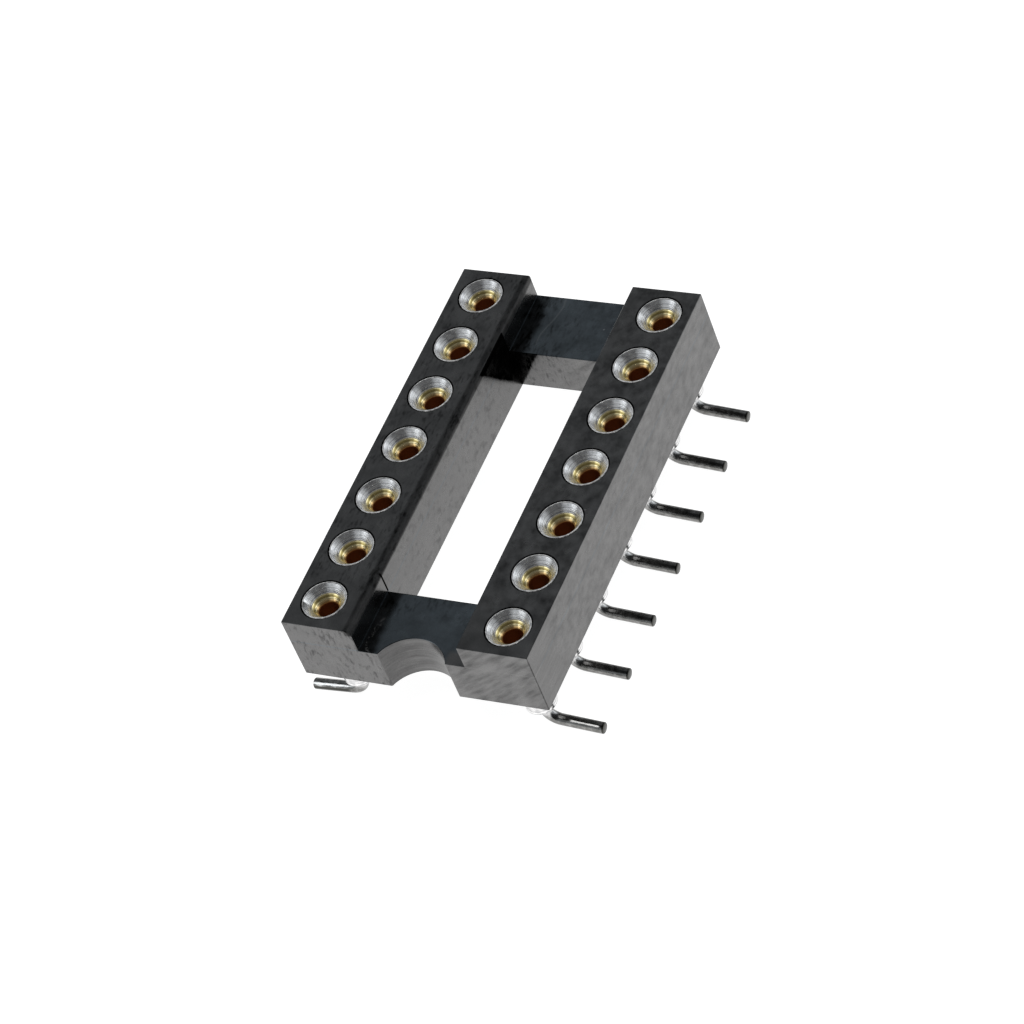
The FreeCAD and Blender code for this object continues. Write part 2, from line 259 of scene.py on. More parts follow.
def make_frame_block():
    """The frame before its holes: a slab round the window, and two rails raised above the end bars."""
    bm = bmesh.new()
    bmesh.ops.create_grid(bm, x_segments=1, y_segments=1, size=0.5)
    bmesh.ops.scale(bm, vec=(*(FRAME_HIGH - FRAME_LOW).xy, 1), verts=bm.verts)
    bmesh.ops.translate(bm, vec=(0, 0, UNDERSIDE), verts=bm.verts)
    half_notch = math.sqrt(NOTCH_RADIUS ** 2 - NOTCH_OFFSET ** 2)
    for x in (-HALF_WINDOW, -half_notch, half_notch, HALF_WINDOW):
        cut_across(bm, (x, 0, 0), (1, 0, 0))
    for y in (WINDOW_FRONT, WINDOW_BACK):
        cut_across(bm, (0, y, 0), (0, 1, 0))
    window = [face for face in bm.faces if in_window(face.calc_center_median())]
    bmesh.ops.delete(bm, geom=window, context="FACES")
    bite_notch(bm, half_notch)

    raise_faces(bm, bm.faces[:], BAR_TOP - UNDERSIDE, keep_below=True)
    rails = [face for face in bm.faces if is_rail_top(face)]
    raise_faces(bm, rails, BAR_DROP, keep_below=False)
    bmesh.ops.recalc_face_normals(bm, faces=bm.faces)
    bmesh.ops.dissolve_limit(bm, angle_limit=math.radians(1), verts=bm.verts, edges=bm.edges)

    left_rim = [edge for edge in bm.edges if all(is_left_rim(vert.co) for vert in edge.verts)]
    soften(bm, left_rim, LEFT_RAIL_ROUNDING, 8)
    sharpen_back(bm)
    soften(bm, [edge for edge in bm.edges if is_sharp(edge)], EDGE_ROUNDING, 3)
    return new_piece("moulded_frame", bm)


def in_window(point):
    """Whether a point of the plan lies in the open window."""
    return abs(point.x) < HALF_WINDOW and WINDOW_FRONT < point.y < WINDOW_BACK


def is_rail_top(face):
    """Whether a face is an upper face of the slab, under one of the rails."""
    centre = face.calc_center_median()
    return same(centre.z, BAR_TOP) and abs(centre.x) > HALF_WINDOW


def is_left_rim(point):
    """Whether a point lies on the left rail's top edge beside the window."""
    return same(point.z, TOP) and same(point.x, -HALF_WINDOW)


def is_sharp(edge):
    """Whether an edge stands out sharply. Those along the underside stay as they are."""
    return edge.is_convex and edge.calc_face_angle() > SHARP and not lies_level(edge, UNDERSIDE)


def sharpen_back(bm):
    """Narrows the left rail's rounding towards the back, where the edge is almost sharp."""
    corner = Vector((-HALF_WINDOW, FRAME_HIGH.y, TOP))
    for vert in bm.verts:
        offset = vert.co - corner
        if abs(offset.y) < ALMOST and offset.length < LEFT_RAIL_ROUNDING + ALMOST:
            vert.co = corner + offset * ROUNDING_LEFT_AT_BACK


def bite_notch(bm, half_notch):
    """The middle of the front edge divided and drawn back into the round notch."""
    reach = half_notch + ALMOST
    front = next(edge for edge in bm.edges if all(in_front(vert.co, reach) for vert in edge.verts))
    bmesh.ops.subdivide_edges(bm, edges=[front], cuts=NOTCH_CUTS)
    widest = math.asin(half_notch / NOTCH_RADIUS)
    for vert in bm.verts:
        if in_front(vert.co, half_notch - ALMOST):
            angle = widest * vert.co.x / half_notch
            vert.co.x = NOTCH_RADIUS * math.sin(angle)
            vert.co.y = NOTCH_CENTRE + NOTCH_RADIUS * math.cos(angle)


def in_front(point, half_width):
    """Whether a point lies on the front edge, within a half width of its middle."""
    return same(point.y, FRAME_LOW.y) and abs(point.x) < half_width


def make_hole_cutter():
    """The stepped plugs that are cut out of the frame, one for each contact."""
    bm = bmesh.new()
    beyond = 0.5
    head, barrel = HEAD_RADIUS + HEAD_GAP, BARREL_RADIUS + CLIP_GAP
    bottom = TOP - UNDERSIDE + beyond
    for number in CONTACTS:
        plug = bmesh.new()
        draw_line(plug, [
            (0, -beyond, 0), (head, -beyond, 0), (head, HEAD_DEPTH, 0),
            (barrel, HEAD_DEPTH, 0), (barrel, bottom, 0), (0, bottom, 0),
        ])
        spin_round(plug)
        bmesh.ops.recalc_face_normals(plug, faces=plug.faces)
        stand_on_axis(plug, number)
        shape = bpy.data.meshes.new("plug")
        plug.to_mesh(shape)
        plug.free()
        bm.from_mesh(shape)
        bpy.data.meshes.remove(shape)
    return new_piece("hole_cutter", bm)


def make_moulded_frame(material):
    """The frame with its stepped holes."""
    block, cutter = make_frame_block(), make_hole_cutter()
    holes = block.modifiers.new("holes", "BOOLEAN")
    holes.operation, holes.solver, holes.object = "DIFFERENCE", "EXACT", cutter
    drilled = block.evaluated_get(bpy.context.evaluated_depsgraph_get())
    mesh = bpy.data.meshes.new_from_object(drilled)
    block.modifiers.clear()
    block.data = mesh
    bpy.data.objects.remove(cutter)
    mesh.materials.clear()
    mesh.materials.append(material)
    smooth_shade(block)
    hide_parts("insulator")
    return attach(block, "root")


# Contacts


def make_sleeve(number, material, turn):
    """A turned sleeve with its funnel mouth and stepped bore, whose tail is bent out into a foot."""
    bm = bmesh.new()
    draw_line(bm, [
        (0, DRILL_POINT, 0),
        (BORE_RADIUS, BORE_END, 0),
        (BORE_RADIUS, SEAT_END, 0),
        (SEAT_RADIUS, SEAT_END, 0),
        (SEAT_RADIUS, FUNNEL_DEPTH, 0.015),
        (HEAD_RADIUS - RIM_WIDTH, 0, 0.02),
        (HEAD_RADIUS, 0, 0.022),
        (HEAD_RADIUS, HEAD_DEPTH, 0.02),
        (BARREL_RADIUS, HEAD_DEPTH, 0),
        (BARREL_RADIUS, BARREL_END, 0.03),
        (WIRE_RADIUS, SHOULDER_END, 0),
    ])
    spin_round(bm)
    bend_tail(bm, foot_reach(number))
    bmesh.ops.recalc_face_normals(bm, faces=bm.faces)
    place = stand_on_axis(bm, number)
    sleeve = new_piece(f"sleeve_{number}", bm, material)
    smooth_shade(sleeve)
    remember_place(sleeve, place, turn)
    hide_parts(f"contact_{number}")
    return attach(sleeve, "root")


def foot_reach(number):
    """How far a foot's middle line reaches out from its contact's axis."""
    low, high = box_in_mm(f"contact_{number}")
    low_clip, high_clip = box_in_mm(f"clip_{number}")
    axis = (low_clip + high_clip).x / 2
    return max(high.x - axis, axis - low.x) - WIRE_RADIUS * math.sin(FOOT_ANGLE)


def bend_tail(bm, reach):
    """The shoulder's lower ring drawn down, round the bend and out to the foot's rounded tip."""
    ring = [edge for edge in bm.edges if lies_level(edge, -SHOULDER_END)]
    ring = push_ring(bm, ring, (0, 0, -TAIL_STRAIGHT))
    bend_centre = (BEND_RADIUS, 0, -SHOULDER_END - TAIL_STRAIGHT)
    ring = bend_ring(bm, ring, bend_centre, math.pi / 2 - FOOT_ANGLE)
    run = reach - BEND_RADIUS * (1 - math.sin(FOOT_ANGLE))
    ring = push_ring(bm, ring, (run, 0, -run * math.tan(FOOT_ANGLE)))
    bmesh.ops.edgeloop_fill(bm, edges=ring)
    soften(bm, ring, TIP_ROUNDING, 4)


def make_clip(number, material):
    """A gold clip: a rolled lip, a round throat, and four fingers that lean inwards."""
    bm = bmesh.new()
    seat, bore = SEAT_RADIUS - CLIP_GAP, BORE_RADIUS - CLIP_GAP
    step = SEAT_END - CLIP_GAP
    draw_line(bm, [
        (seat, LIP_TOP, 0.01),
        (seat, step, 0),
        (bore, step, 0),
        (bore, NECK_END, 0),
        (GRIP_RADIUS + CLIP_WALL, FINGER_END, 0),
        (GRIP_RADIUS, FINGER_END, 0),
        (THROAT_RADIUS, NECK_END, 0),
        (THROAT_RADIUS, THROAT_TOP, 0.03),
        (LEDGE_INNER, LIP_END, 0.02),
        (LEDGE_OUTER, LIP_END, 0.012),
        (LIP_RADIUS, LIP_TOP, 0.015),
    ], closed=True)
    spin_round(bm)
    bmesh.ops.recalc_face_normals(bm, faces=bm.faces)
    cut_slots(bm)
    bmesh.ops.recalc_face_normals(bm, faces=bm.faces)
    place = stand_on_axis(bm, number)
    clip = new_piece(f"spring_clip_{number}", bm, material)
    smooth_shade(clip)
    remember_place(clip, place, 0)
    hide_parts(f"clip_{number}")
    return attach(clip, "root")


def cut_slots(bm):
    """Opens the slots between the fingers and closes the cut walls."""
    half_slot = SLOT_WIDTH / 2 / BORE_RADIUS
    for slot in range(FINGERS):
        angle = 2 * math.pi * slot / FINGERS
        middle = Vector((math.cos(angle), math.sin(angle)))
        gone = [face for face in bm.faces if lies_in_slot(face.calc_center_median(), middle, half_slot)]
        rims = {edge for face in gone for edge in face.edges}
        bmesh.ops.delete(bm, geom=gone, context="FACES")
        rims = [edge for edge in rims if edge.is_valid and edge.is_boundary]
        walls = [edge for edge in rims if not lies_level(edge, -FINGER_END)]
        bmesh.ops.bridge_loops(bm, edges=walls)


def lies_in_slot(point, middle, half_slot):
    """Whether a point of the fingers lies within a slot's angle."""
    in_fingers = point.z < -NECK_END and point.xy.length > ALMOST
    return in_fingers and abs(point.xy.angle_signed(middle)) < half_slot


# Node helpers


def add_node(tree, kind, inputs=None, **settings):
    """A node with its settings, whose inputs are given as values or as the sockets that feed them."""
    node = tree.nodes.new(kind)
    for name, value in settings.items():
        setattr(node, name, value)
    feed(tree, node, inputs or {})
    return node


def feed(tree, node, inputs):
    """Sets a node's inputs, or links them to the sockets that feed them."""
    for name, value in inputs.items():
        if isinstance(value, bpy.types.NodeSocket):
            tree.links.new(value, node.inputs[name])
        else:
            node.inputs[name].default_value = value


def calculate(tree, operation, *values):
    """The result of a sum on values or sockets."""
    return add_node(tree, "ShaderNodeMath", dict(enumerate(values)), operation=operation).outputs[0]


def multiply(tree, product, *others):
    """The product of several values."""
    for other in others:
        product = calculate(tree, "MULTIPLY", product, other)
    return product


def strongest(tree, most, *others):
    """The largest of several values."""
    for other in others:
        most = calculate(tree, "MAXIMUM", most, other)
    return most


def add_up(tree, terms):
    """The sum of values, each times its weight."""
    total = 0.0
    for value, weight in terms:
        total = calculate(tree, "MULTIPLY_ADD", value, weight, total)
    return total


def distance_from(tree, value, middle):
    """How far a value lies from another."""
    return calculate(tree, "ABSOLUTE", calculate(tree, "SUBTRACT", value, middle))


def waver(tree, value, noise, width):
    """A value moved to and fro by a noise, over a width."""
    return calculate(tree, "MULTIPLY_ADD", calculate(tree, "SUBTRACT", noise, 0.5), width, value)


def fade(tree, value, low, high, start, end):
    """A soft change from start to end as a value goes from low to high."""
    return add_node(tree, "ShaderNodeMapRange", {
        "Value": value, "From Min": low, "From Max": high, "To Min": start, "To Max": end,
    }, interpolation_type="SMOOTHSTEP").outputs["Result"]


def rise(tree, value, low, high):
    """A soft change from none to full as a value goes from low to high."""
    return fade(tree, value, low, high, 0.0, 1.0)


def fall(tree, value, low, high):
    """A soft change from full to none as a value goes from low to high."""
    return fade(tree, value, low, high, 1.0, 0.0)


def blend(tree, share, start, end):
    """A colour between two others."""
    mixed = add_node(tree, "ShaderNodeMix", {"Factor": share, "A": start, "B": end}, data_type="RGBA")
    return mixed.outputs["Result"]


def blend_values(tree, share, start, end):
    """A value between two others."""
    return add_node(tree, "ShaderNodeMix", {"Factor": share, "A": start, "B": end}).outputs["Result"]


def combine(tree, operation, *vectors):
    """The result of a sum on vectors."""
    return add_node(tree, "ShaderNodeVectorMath", dict(enumerate(vectors)), operation=operation).outputs[0]


def lengthen(tree, vector, factor):
    """A vector times a value."""
    return add_node(
        tree, "ShaderNodeVectorMath", {0: vector, "Scale": factor}, operation="SCALE").outputs[0]


def in_millimetres(tree, place):
    """A place in metres, brought to millimetres."""
    return combine(tree, "MULTIPLY", place, (1 / MM,) * 3)


def split(tree, vector):
    """The X, Y and Z of a vector."""
    return add_node(tree, "ShaderNodeSeparateXYZ", {0: vector}).outputs


def add_noise(tree, place, scale, detail):
    """A soft noise over a place."""
    return add_node(tree, "ShaderNodeTexNoise", {
        "Vector": place, "Scale": scale, "Detail": detail}).outputs["Fac"]


def object_place(tree):
    """Where a point lies, in metres."""
    return add_node(tree, "ShaderNodeTexCoord").outputs["Object"]


def place_from_mouth(tree):
    """Where a contact's point lies from the middle of its mouth, in metres."""
    return add_node(tree, "ShaderNodeAttribute", attribute_name="from_mouth").outputs["Vector"]


def surface_normal(tree):
    """Which way a surface faces."""
    return add_node(tree, "ShaderNodeNewGeometry").outputs["Normal"]


def add_bump(tree, height, strength, distance):
    """The surface's normal, roughened by a height in millimetres."""
    return add_node(tree, "ShaderNodeBump", {
        "Height": height, "Strength": strength, "Distance": distance * MM}).outputs["Normal"]


def new_group(name, inputs, outputs):
    """A node group with its inputs and outputs, given by name, kind and, for an input, starting value."""
    group = bpy.data.node_groups.new(name, "ShaderNodeTree")
    for label, kind, value in inputs:
        socket = group.interface.new_socket(label, in_out="INPUT", socket_type=f"NodeSocket{kind}")
        if value is not None:
            socket.default_value = value
    for label, kind in outputs:
        group.interface.new_socket(label, in_out="OUTPUT", socket_type=f"NodeSocket{kind}")
    return group, group.nodes.new("NodeGroupInput").outputs, group.nodes.new("NodeGroupOutput").inputs


def give_out(group, results, values):
    """Links a group's values to its outputs."""
    for name, value in values.items():
        group.links.new(value, results[name])


def use_group(tree, group, inputs):
    """A node group placed in a material, with its own values."""
    node = tree.nodes.new("ShaderNodeGroup")
    node.node_tree = group
    feed(tree, node, inputs)
    return node.outputs


def use_mottle(tree, mottle, place, size, detail, contrast):
    """Soft patches of a size in millimetres, with their own detail and contrast."""
    return use_group(tree, mottle, {
        "Vector": place, "Size": size, "Detail": detail, "Contrast": contrast})["Value"]


def new_material(name):
    """A material with an empty tree, and its output node."""
    material = bpy.data.materials.new(name)
    material.use_nodes = True
    material.node_tree.nodes.clear()
    output = material.node_tree.nodes.new("ShaderNodeOutputMaterial")
    return material, material.node_tree, output


def coat(tree, output, inputs):
    """The material's surface, from its shader's inputs."""
    shader = add_node(tree, "ShaderNodeBsdfPrincipled", inputs)
    tree.links.new(shader.outputs["BSDF"], output.inputs["Surface"])


# Shared patterns


def make_mottle_group():
    """Soft patches: a noise stretched by a size in millimetres for each axis, centred on a half."""
    group, given, results = new_group("mottle", [
        ("Vector", "Vector", None), ("Size", "Vector", (1, 1, 1)),
        ("Detail", "Float", 3.0), ("Contrast", "Float", 1.0),
    ], [("Value", "Float")])
    sized = combine(group, "DIVIDE", in_millimetres(group, given["Vector"]), given["Size"])
    noise = add_node(group, "ShaderNodeTexNoise", {
        "Vector": sized, "Scale": 1.0, "Detail": given["Detail"], "Roughness": 0.55})
    stretched = multiply(group, calculate(group, "SUBTRACT", noise.outputs["Fac"], 0.5), given["Contrast"])
    give_out(group, results, {"Value": calculate(group, "ADD", stretched, 0.5)})
    return group


def make_turning_group():
    """Marks of the lathe round a mouth: uneven rings, and how far out and how deep a point lies."""
    group, given, results = new_group(
        "turning",
        [("Place", "Vector", None), ("Spacing", "Float", 0.03)],
        [("Height", "Float"), ("Radius", "Float"), ("Depth", "Float")],
    )
    spot = split(group, in_millimetres(group, given["Place"]))
    flat = add_node(group, "ShaderNodeCombineXYZ", {"X": spot["X"], "Y": spot["Y"]})
    length = add_node(group, "ShaderNodeVectorMath", {0: flat.outputs[0]}, operation="LENGTH")
    radius = length.outputs["Value"]
    turns = calculate(group, "DIVIDE", calculate(group, "ADD", radius, spot["Z"]), given["Spacing"])
    rings = add_node(group, "ShaderNodeTexNoise", {
        "W": turns, "Scale": 1.0, "Detail": 3.0, "Roughness": 0.6}, noise_dimensions="1D")
    give_out(group, results, {
        "Height": rings.outputs["Fac"], "Radius": radius, "Depth": multiply(group, spot["Z"], -1.0)})
    return group


# Moulding


def make_marks_group():
    """Where the moulding is marked: its painted shades, its pale marks, a painted reflection, and the places
    that look different.
    """
    group, given, results = new_group("moulding_marks", [("Place", "Vector", None)], [
        ("Shade", "Float"), ("Pale", "Float"), ("Bar", "Float"),
        ("Notch", "Float"), ("Painted_reflection", "Float"), ("Rounding", "Float"),
    ])
    in_mm = in_millimetres(group, given["Place"])
    spot = split(group, in_mm)
    wander = add_noise(group, in_mm, 1.3, 2.0)
    drift = add_noise(group, in_mm, 0.6, 1.0)
    grains = add_noise(group, in_mm, 9.0, 2.0)
    bar = fall(group, distance_from(group, spot["Z"], BAR_TOP), 0.01, 0.03)
    shade = strongest(
        group, shade_corners(group, spot), shade_foot(group, spot), shade_seam(group, spot),
        shade_nook(group, spot, wander), shade_gutter(group, spot, wander, bar))
    pale = strongest(group, mark_line(group, spot, drift), mark_specks(group, spot, drift, grains))
    give_out(group, results, {
        "Shade": shade, "Pale": pale, "Bar": bar, "Notch": find_notch(group, spot),
        "Painted_reflection": find_painted_reflection(group, spot, bar), "Rounding": find_rounding(group, spot)})
    return group


def shade_corners(tree, spot):
    """Thin dark lines down the frame's upright corners."""
    line, core = 0.05, 0.02
    across, along = calculate(tree, "ABSOLUTE", spot["X"]), calculate(tree, "ABSOLUTE", spot["Y"])
    side = rise(tree, across, FRAME_HIGH.x - line, FRAME_HIGH.x - core)
    end = fade(tree, along, FRAME_HIGH.y - line, FRAME_HIGH.y - core, 0.0, 0.5)
    return multiply(tree, side, end)


def shade_foot(tree, spot):
    """A thin dark line along the frame's lower edge."""
    return fade(tree, spot["Z"], UNDERSIDE + 0.01, UNDERSIDE + 0.05, 0.5, 0.0)


def shade_seam(tree, spot):
    """Dark seams down the rails' inner walls, where the front bar ends."""
    seam = fade(tree, distance_from(tree, spot["Y"], WINDOW_FRONT), 0.03, 0.055, 1.9, 0.0)
    beside = fall(tree, calculate(tree, "ABSOLUTE", spot["X"]), HALF_WINDOW + 0.02, HALF_WINDOW + 0.06)
    above = rise(tree, spot["Z"], BAR_TOP - 0.02, BAR_TOP + 0.02)
    return multiply(tree, seam, above, beside)


def shade_nook(tree, spot, wander):
    """The dark nook between the left inner wall and the back bar, cut off along a slant."""
    across, along, up = NOOK_SLANT
    from_wall = calculate(tree, "DIVIDE", calculate(tree, "ADD", spot["X"], HALF_WINDOW), across)
    from_bar = calculate(tree, "DIVIDE", calculate(tree, "SUBTRACT", WINDOW_BACK, spot["Y"]), along)
    from_foot = calculate(tree, "DIVIDE", calculate(tree, "SUBTRACT", spot["Z"], UNDERSIDE), up)
    past = calculate(tree, "SUBTRACT", calculate(tree, "ADD", from_wall, from_bar), from_foot)
    nook = fade(tree, waver(tree, past, wander, 0.3), -0.15, 0.15, 1.5, 0.0)
    before_bar = fall(tree, spot["Y"], WINDOW_BACK + 0.01, WINDOW_BACK + 0.03)
    right_of_wall = rise(tree, spot["X"], -HALF_WINDOW - 0.04, -HALF_WINDOW - 0.01)
    return multiply(tree, nook, before_bar, right_of_wall)


def shade_gutter(tree, spot, wander, bar):
    """Dark strips on the bars, along the left rail."""
    strip = fall(tree, waver(tree, spot["X"], wander, 0.5), -HALF_WINDOW + 0.45, -HALF_WINDOW + 0.8)
    right_of_wall = rise(tree, spot["X"], -HALF_WINDOW + 0.01, -HALF_WINDOW + 0.03)
    return multiply(tree, bar, strip, right_of_wall)


def mark_line(tree, spot, drift):
    """A thin pale line that slants along the back bar."""
    back = FRAME_HIGH.y
    slant = calculate(tree, "MULTIPLY_ADD", spot["Y"], -LINE_SLANT, LINE_SLANT * back + LINE_ACROSS)
    off = calculate(tree, "ADD", spot["X"], calculate(tree, "MULTIPLY_ADD", drift, DRIFT, slant))
    line = fall(tree, calculate(tree, "ABSOLUTE", off), 0.015, 0.05)
    return multiply(tree, line, rise(tree, spot["Y"], WINDOW_BACK + 0.3, WINDOW_BACK + 0.8))


def mark_specks(tree, spot, drift, grains):
    """A loose row of pale specks on the front bar."""
    off = calculate(tree, "MULTIPLY_ADD", drift, DRIFT, calculate(tree, "ADD", spot["X"], SPECKS_ACROSS))
    row = fade(tree, calculate(tree, "ABSOLUTE", off), 0.02, 0.12, 1.3, 0.0)
    at_front = fall(tree, spot["Y"], WINDOW_FRONT - 1.4, WINDOW_FRONT - 1.1)
    return multiply(tree, row, rise(tree, grains, 0.5, 0.6), at_front)


def find_notch(tree, spot):
    """The zone behind the front face, about as deep as the notch, with the notch's wall."""
    behind_face = rise(tree, spot["Y"], FRAME_LOW.y + 0.01, FRAME_LOW.y + 0.06)
    before_window = fall(tree, spot["Y"], WINDOW_FRONT - 1.2, WINDOW_FRONT - 1.0)
    return multiply(tree, behind_face, before_window)


def find_painted_reflection(tree, spot, bar):
    """A painted reflection: a greyer patch on the front bar, to the right of the notch."""
    right = rise(tree, spot["X"], 1.2, 1.5)
    near = fall(tree, spot["Y"], FRAME_LOW.y + 0.45, FRAME_LOW.y + 0.75)
    return multiply(tree, right, near, bar)


def find_rounding(tree, spot):
    """The left rail's rounded edge beside the window."""
    beyond = LEFT_RAIL_ROUNDING + 0.05
    right_of_top = rise(tree, spot["X"], -HALF_WINDOW - beyond, -HALF_WINDOW - 0.2)
    left_of_window = fall(tree, spot["X"], -HALF_WINDOW + 0.02, -HALF_WINDOW + 0.05)
    above_wall = rise(tree, spot["Z"], TOP - beyond, TOP - 0.2)
    return multiply(tree, right_of_top, left_of_window, above_wall)


def make_moulding_material(mottle, marks):
    """Black filled plastic: a satin skin with flow marks, a little dirt, painted shade, a painted
    reflection, and pale specks.
    """
    material, tree, output = new_material("black_moulding")
    place = object_place(tree)
    broad = use_mottle(tree, mottle, place, (0.9, 0.9, 0.7), 3.0, 1.8)
    fine = use_mottle(tree, mottle, place, (0.07, 0.07, 0.07), 3.0, 1.8)
    mark = use_group(tree, marks, {"Place": place})
    flow = flow_marks(tree, mottle, place, mark["Notch"])
    shine = fade(tree, moulding_dirt_and_painted_shade(tree, mark, flow, broad, fine), -0.5, 0.7, 1.0, 0.0)
    blue_share = calculate(tree, "SUBTRACT", mark["Bar"], mark["Painted_reflection"])
    tint = blend(tree, blue_share, (1.0, 0.985, 0.98, 1), (0.85, 1.0, 1.12, 1))
    roughness = fade(tree, broad, 0.0, 1.0, 0.2, 0.3)
    roughness = calculate(tree, "MULTIPLY_ADD", mark["Rounding"], 0.4, roughness)
    height = add_up(tree, [(flow, 0.5), (fine, 0.2)])
    coat(tree, output, {
        "Base Color": moulding_colour(tree, place, broad, mark["Pale"]), "Roughness": roughness,
        "IOR": 1.85, "Specular IOR Level": shine, "Specular Tint": tint,
        "Normal": add_bump(tree, height, 0.2, 0.01)})
    return material


def moulding_colour(tree, place, broad, pale):
    """Cool and warm blacks, with pale specks and the pale marks."""
    black = blend(tree, broad, (0.0006, 0.0008, 0.0009, 1), (0.0018, 0.0016, 0.0014, 1))
    specks = add_node(tree, "ShaderNodeTexVoronoi", {"Vector": place, "Scale": 900.0})
    is_speck = calculate(tree, "LESS_THAN", specks.outputs["Distance"], 0.035)
    is_pale = strongest(tree, is_speck, multiply(tree, pale, 0.4))
    return blend(tree, is_pale, black, (0.05, 0.05, 0.05, 1))


def flow_marks(tree, mottle, place, notch):
    """Flow of the plastic: sparse strokes at the left, leaning bands at the right, arcs round the notch."""
    leaning = add_node(tree, "ShaderNodeMapping", {"Vector": place, "Rotation": (0, math.radians(38), 0)})
    strokes = use_mottle(tree, mottle, place, (0.11, 0.35, 0.3), 2.0, 1.6)
    patches = use_mottle(tree, mottle, place, (0.5, 0.5, 0.6), 2.0, 1.6)
    bands = use_mottle(tree, mottle, leaning.outputs["Vector"], (1.2, 0.5, 0.26), 3.0, 2.6)
    arcs = use_mottle(tree, mottle, place, (1.5, 1.5, 0.1), 2.0, 1.2)
    deepest = fade(tree, patches, 0.35, 0.65, 0.45, -0.1)
    sparse = fade(tree, strokes, 0.2, 0.6, deepest, 0.6)
    to_right = rise(tree, split(tree, place)["X"], -1.5 * MM, 2.5 * MM)
    return blend_values(tree, notch, blend_values(tree, to_right, sparse, bands), arcs)


def moulding_dirt_and_painted_shade(tree, mark, flow, broad, fine):
    """How much of the skin's shine is lost, more by flow marks on the end faces and by clouds on top, and by
    painted shade.
    """
    facing = split(tree, surface_normal(tree))
    at_end = rise(tree, calculate(tree, "ABSOLUTE", facing["Y"]), 0.8, 0.95)
    on_top = rise(tree, facing["Z"], 0.8, 0.95)
    flow_share = calculate(tree, "MULTIPLY_ADD", at_end, 0.25, 0.32)
    flow_share = calculate(tree, "MULTIPLY_ADD", on_top, 0.08, flow_share)
    cloud_share = calculate(tree, "MULTIPLY_ADD", on_top, 0.22, 0.2)
    return add_up(tree, [
        (calculate(tree, "SUBTRACT", 0.5, flow), flow_share),
        (calculate(tree, "SUBTRACT", 0.5, broad), cloud_share),
        (calculate(tree, "SUBTRACT", fine, 0.5), 0.12),
        # painted reflection: the greyer patch on the front bar gets some shine back
        (mark["Painted_reflection"], -0.13),
        # painted shade: the corners, lower edge, seams, nook and bar strips lose their shine
        (mark["Shade"], 0.45),
        (mark["Rounding"], 0.2),
        (at_end, -0.06),
    ])


# Tin plate


def make_foot_marks_and_shade_group():
    """Marks on the feet: a pale streak, a bright band, and what is dark, with painted shade in a band below
    the bright one.
    """
    group, given, results = new_group("streaked_and_shaded_feet", [("Place", "Vector", None)], [
        ("Pale", "Float"), ("Bright", "Float"), ("Dark", "Float")])
    in_mm = in_millimetres(group, given["Place"])
    spot = split(group, in_mm)
    wander = add_noise(group, in_mm, 3.0, 3.0)
    out = calculate(group, "ABSOLUTE", spot["X"])
    on_left = fall(group, spot["X"], -4.6, -4.3)
    give_out(group, results, {
        "Pale": pale_streak_right(group, spot, wander, out, on_left),
        "Bright": bright_streak_left(group, spot, wander, on_left),
        "Dark": shade_feet(group, spot, wander, out, on_left)})
    return group


def pale_streak_right(tree, spot, wander, out, on_left):
    """A thin pale streak along the front right foot."""
    off = waver(tree, distance_from(tree, spot["Y"], STREAK_ALONG), wander, 0.05)
    line = fall(tree, off, STREAK_WIDTH / 2, STREAK_WIDTH)
    past_bend, before_tip = rise(tree, out, 4.7, 4.9), fall(tree, out, 5.9, 6.0)
    return multiply(tree, line, past_bend, before_tip, calculate(tree, "SUBTRACT", 1.0, on_left))


def bright_streak_left(tree, spot, wander, on_left):
    """A broader bright band along the front left foot."""
    off = waver(tree, distance_from(tree, spot["Y"], STREAK_ALONG - STREAK_WIDTH / 2), wander, 0.15)
    return multiply(tree, fade(tree, off, 0.4 * STREAK_WIDTH, 1.7 * STREAK_WIDTH, 0.95, 0.0), on_left)


def shade_feet(tree, spot, wander, out, on_left):
    """Painted shade in a dark band below the bright one, and the dark tips."""
    band = fall(tree, spot["Y"], STREAK_ALONG - 3 * STREAK_WIDTH, STREAK_ALONG - 2 * STREAK_WIDTH)
    tip = rise(tree, waver(tree, out, wander, 0.1), 6.03, 6.07)
    return strongest(tree, multiply(tree, band, on_left), tip)


def make_tin_material(turning, mottle, foot_marks_and_shade_group):
    """Tin plate over a turned sleeve: pale at the rim as a painted highlight, ringed in the funnel, and dull
    on the foot.
    """
    material, tree, output = new_material("tin_plate")
    place = place_from_mouth(tree)
    mouth = use_group(tree, turning, {"Place": place, "Spacing": 0.065})
    cloud = use_mottle(tree, mottle, place, (0.2, 0.2, 0.2), 4.0, 1.8)
    foot_marks_and_shade = use_group(tree, foot_marks_and_shade_group, {"Place": object_place(tree)})
    rings = tin_rings(tree, mouth)
    # pale: the rim's painted highlight, and the pale streak on the front right foot
    pale = strongest(tree, tin_rim(tree, mouth, cloud), foot_marks_and_shade["Pale"])
    skin = blend(tree, pale, tin_tone(tree, mouth, rings, cloud, foot_marks_and_shade), (0.8, 0.79, 0.77, 1))
    funnel_metal = fade(tree, mouth["Depth"], FUNNEL_DEPTH, SEAT_END, 0.9, 1.0)
    coat(tree, output, {
        "Base Color": skin,
        "Metallic": multiply(tree, fade(tree, pale, 0.0, 1.0, 1.0, 0.1), funnel_metal),
        "Roughness": fade(tree, cloud, 0.2, 0.8, 0.14, 0.26),
        "Normal": add_bump(tree, rings, 1.0, 0.008)})
    return material


